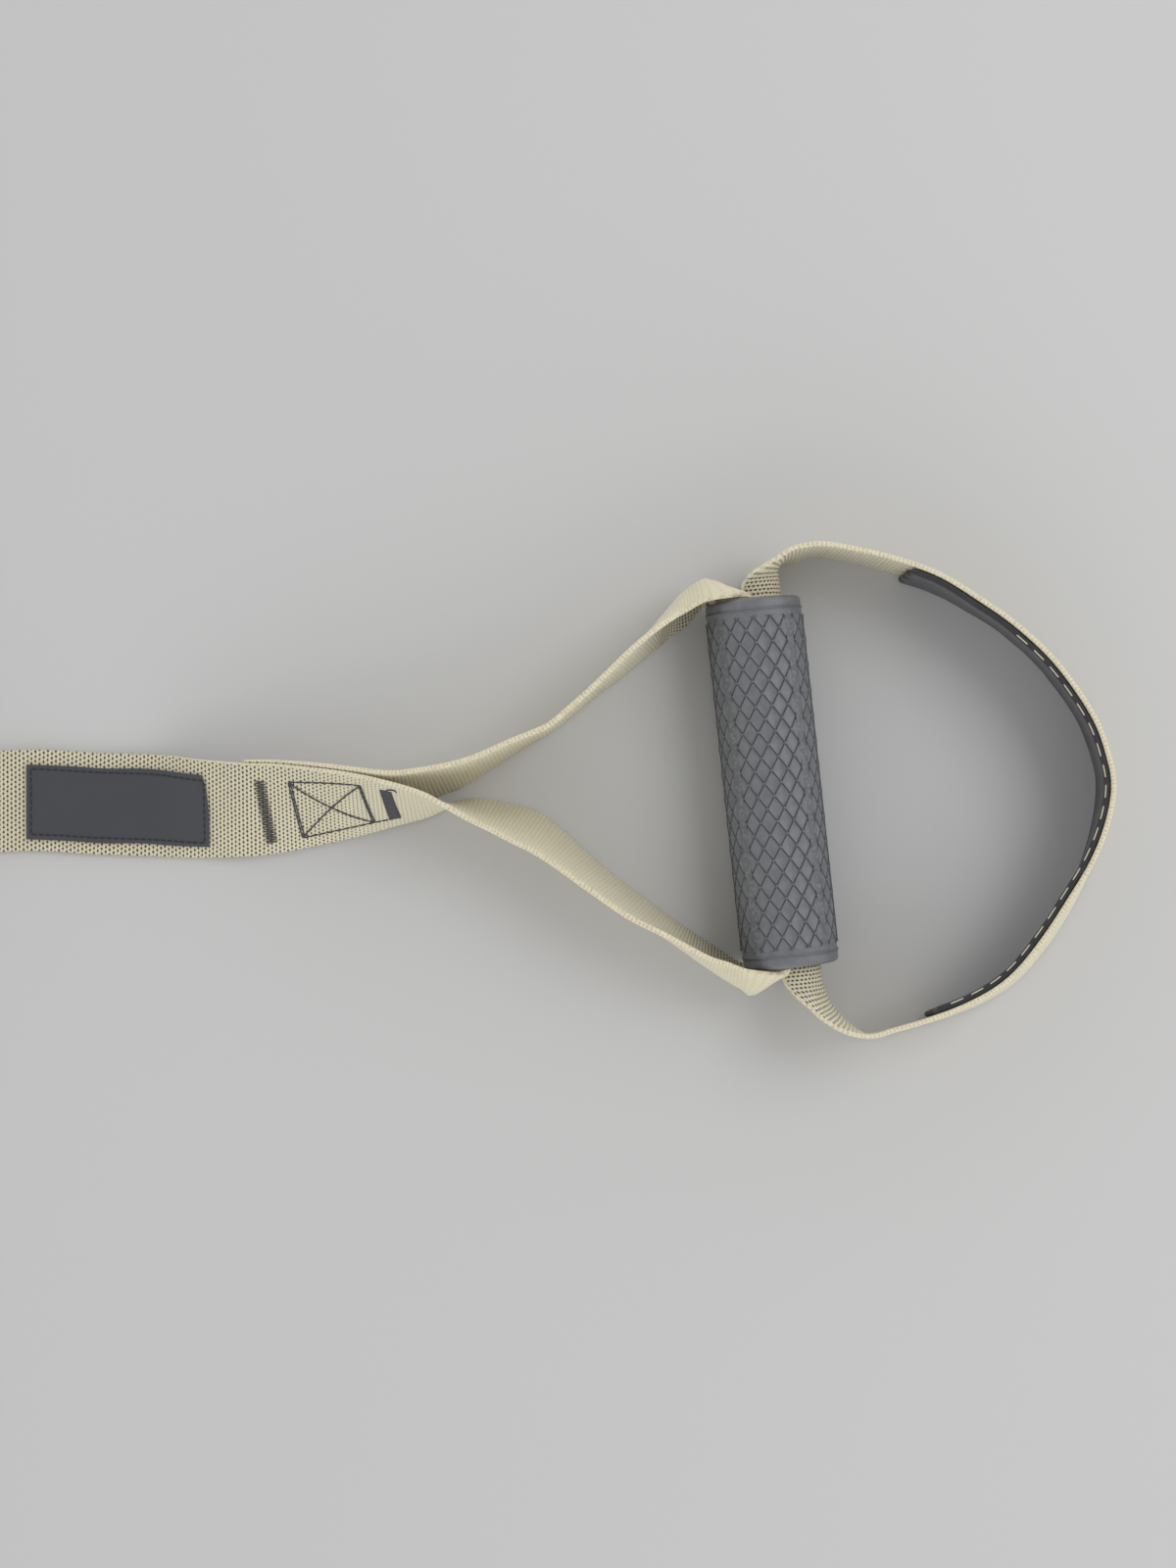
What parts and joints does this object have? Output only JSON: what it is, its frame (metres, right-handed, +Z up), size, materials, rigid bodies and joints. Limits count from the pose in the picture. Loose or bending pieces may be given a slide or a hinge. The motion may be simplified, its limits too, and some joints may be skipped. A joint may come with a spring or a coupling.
{
  "type": "suspension trainer strap unit",
  "caption": "Webbing strap with a rubber hand grip and a lined foot loop at one end, and a folded spare length, cam buckle and carabiner at the other.",
  "frame": {"origin": "centre of the underside of the box round the unit as it lies on the floor", "axes": "+X along the strap from the carabiner towards the foot loop, +Y towards the picture's upper side, +Z up from the floor"},
  "size_m": [0.8636, 0.1832, 0.0383],
  "materials": {
    "webbing": "coarse woven webbing",
    "tie": "woven band",
    "label": "finely woven patch",
    "rubber": "satin moulded rubber with a raised net",
    "tube": "matt extruded tube",
    "felt": "dense felt",
    "steel": "plated pressed steel",
    "spring_steel": "bare spring wire",
    "alloy": "satin anodised"
  },
  "bodies": {
    "strap": {"strap_lead": "webbing", "strap_hank": "webbing", "hank_tie": "tie", "strap_tail": "webbing", "lower_arm": "webbing", "tube_strand": "webbing", "upper_arm": "webbing", "label_patch": "label"},
    "grip": {"grip_sleeve": "rubber", "grip_tube": "tube"},
    "foot_loop": {"foot_loop_webbing": "webbing", "foot_strand": "webbing", "foot_pad": "felt"},
    "buckle": {"buckle_frame": "steel", "cam_pin": "steel", "cam_spring": "spring_steel", "anchor_webbing": "webbing"},
    "cam": {"buckle_cam": "steel"},
    "carabiner": {"carabiner_body": "alloy", "gate_pin": "steel"},
    "gate": {"carabiner_gate": "alloy", "gate_spring": "spring_steel"}
  },
  "joints": [
    {"name": "grip_spin", "type": "hinge", "parent": "strap", "child": "grip", "pos_m": [0.30408, 0.00444, 0.01823], "axis": [0.1063, -0.9943, 0], "continuous": true},
    {"name": "foot_loop_swing", "type": "hinge", "parent": "strap", "child": "foot_loop", "pos_m": [0.30408, 0.00444, 0.01823], "axis": [0.1063, -0.9943, 0], "range_deg": [-45, 45]},
    {"name": "length_adjust", "type": "slide", "parent": "strap", "child": "buckle", "axis": [1, 0, 0], "range_m": [-0.033, 0.01]},
    {"name": "cam_lever", "type": "hinge", "parent": "buckle", "child": "cam", "pos_m": [-0.2319, -0.0034, 0.01543], "axis": [0, -1, 0], "range_deg": [0, 70], "stiffness_Nm_per_rad": 0.02, "springref_deg": -28.65},
    {"name": "carabiner_swing", "type": "hinge", "parent": "buckle", "child": "carabiner", "pos_m": [-0.34198, -0.0034, 0.00846], "axis": [0, 1, 0], "range_deg": [-20, 110]},
    {"name": "gate_swing", "type": "hinge", "parent": "carabiner", "child": "gate", "pos_m": [-0.37925, 0.02017, 0.00667], "axis": [-0.0481, 0, 0.9988], "range_deg": [0, 25], "stiffness_Nm_per_rad": 0.02, "springref_deg": -28.65}
  ]
}
